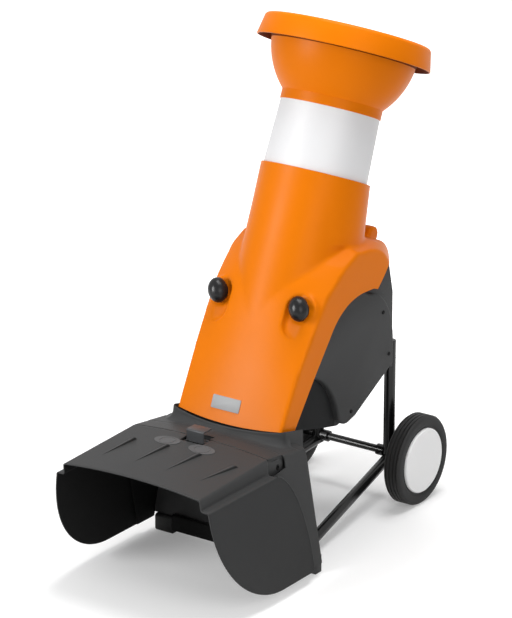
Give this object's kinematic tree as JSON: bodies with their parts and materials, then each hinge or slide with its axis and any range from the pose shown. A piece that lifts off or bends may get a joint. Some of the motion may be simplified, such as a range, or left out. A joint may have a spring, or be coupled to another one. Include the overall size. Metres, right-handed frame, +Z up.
{
  "type": "garden shredder",
  "caption": "Wheeled electric garden shredder: a tilted feed funnel and hood over a knife disc, a folding discharge flap in front, on a black tube frame.",
  "frame": {"origin": "middle of the box in plan, on the ground", "axes": "+Z up, the discharge flap towards -Y, the wheels and the rear wall towards +Y"},
  "size_m": [0.564, 1.1686, 1.388],
  "materials": {
    "orange_plastic": "satin moulded plastic",
    "white_plastic": "smooth satin",
    "dark_plastic": "fine moulded grain",
    "black_plastic": "satin",
    "black_paint": "gloss powder coat",
    "steel": "zinc plated",
    "tool_steel": "ground",
    "rubber": "matte",
    "pale_cap": "smooth",
    "bush_plastic": "smooth",
    "plate": "brushed, blank",
    "motor_paint": "satin",
    "cast_alloy": "cast",
    "lamination": "stacked sheet",
    "copper_wire": "varnished",
    "green_plastic": "gloss",
    "red_plastic": "gloss"
  },
  "bodies": {
    "chassis": {"axle": "steel", "axle_tubes": "black_paint", "axle_clips": "steel", "leg_left": "black_paint", "leg_right": "black_paint", "rail_left": "black_paint", "rail_right": "black_paint", "axle_rings": "black_paint", "front_crossbar": "black_paint", "foot_left": "dark_plastic", "foot_right": "dark_plastic", "frame_bolts": "steel", "housing": "dark_plastic", "side_cover_left": "dark_plastic", "side_cover_right": "dark_plastic", "cover_screws": "black_paint", "duct_floor": "dark_plastic", "discharge_base": "dark_plastic", "pivot_pins": "steel", "hinge_bracket": "dark_plastic", "hinge_pin": "steel", "hood_forks": "steel", "cutting_chamber": "dark_plastic", "chamber_cover": "steel", "motor_can": "motor_paint", "front_shield": "cast_alloy", "rear_shield": "cast_alloy", "stator_core": "lamination", "stator_windings": "copper_wire", "bearings": "steel", "capacitor": "cast_alloy", "switch_box": "black_plastic", "power_inlet": "black_plastic"},
    "hood": {"hood": "orange_plastic", "feed_tube": "white_plastic", "funnel": "orange_plastic", "label_plate": "plate"},
    "knob_left": {"knob_left": "black_plastic", "knob_stud_left": "steel"},
    "knob_right": {"knob_right": "black_plastic", "knob_stud_right": "steel"},
    "cutter": {"motor_shaft": "tool_steel", "rotor_core": "lamination", "cooling_fan": "black_plastic", "knife_disc": "tool_steel", "knives": "tool_steel", "knife_screws": "steel"},
    "wheel_left": {"tyre_left": "rubber", "wheel_rim_left": "dark_plastic", "wheel_bush_left": "bush_plastic", "hub_cap_left": "pale_cap"},
    "wheel_right": {"tyre_right": "rubber", "wheel_rim_right": "dark_plastic", "wheel_bush_right": "bush_plastic", "hub_cap_right": "pale_cap"},
    "flap": {"discharge_flap": "dark_plastic"},
    "latch": {"latch": "black_plastic"},
    "start_button": {"start_button": "green_plastic"},
    "stop_button": {"stop_button": "red_plastic"}
  },
  "joints": [
    {"name": "hood_tilt", "type": "hinge", "parent": "chassis", "child": "hood", "pos_m": [0, 0.38867, 0.75], "axis": [-1, 0, 0], "range_deg": [0, 60]},
    {"name": "flap_fold", "type": "hinge", "parent": "chassis", "child": "flap", "pos_m": [0, -0.24633, 0.327], "axis": [-1, 0, 0], "range_deg": [0, 80]},
    {"name": "latch_release", "type": "hinge", "parent": "chassis", "child": "latch", "pos_m": [0, -0.27633, 0.358], "axis": [-1, 0, 0], "range_deg": [0, 20], "stiffness_Nm_per_rad": 0.2},
    {"name": "wheel_left_spin", "type": "hinge", "parent": "chassis", "child": "wheel_left", "pos_m": [-0.203, 0.42367, 0.125], "axis": [1, 0, 0], "continuous": true},
    {"name": "wheel_right_spin", "type": "hinge", "parent": "chassis", "child": "wheel_right", "pos_m": [0.203, 0.42367, 0.125], "axis": [1, 0, 0], "continuous": true},
    {"name": "cutter_spin", "type": "hinge", "parent": "chassis", "child": "cutter", "pos_m": [0, 0.11367, 0.556], "axis": [0, -0.4067, 0.9135], "continuous": true},
    {"name": "knob_left_turn", "type": "hinge", "parent": "hood", "child": "knob_left", "pos_m": [-0.128, -0.01267, 0.66597], "axis": [0, -0.9178, 0.3971], "continuous": true},
    {"name": "knob_right_turn", "type": "hinge", "parent": "hood", "child": "knob_right", "pos_m": [0.128, -0.01267, 0.66597], "axis": [0, -0.9178, 0.3971], "continuous": true},
    {"name": "start_press", "type": "slide", "parent": "chassis", "child": "start_button", "axis": [0, -1, 0], "range_m": [0, 0.004], "stiffness_N_per_m": 400},
    {"name": "stop_press", "type": "slide", "parent": "chassis", "child": "stop_button", "axis": [0, -1, 0], "range_m": [0, 0.004], "stiffness_N_per_m": 400}
  ]
}
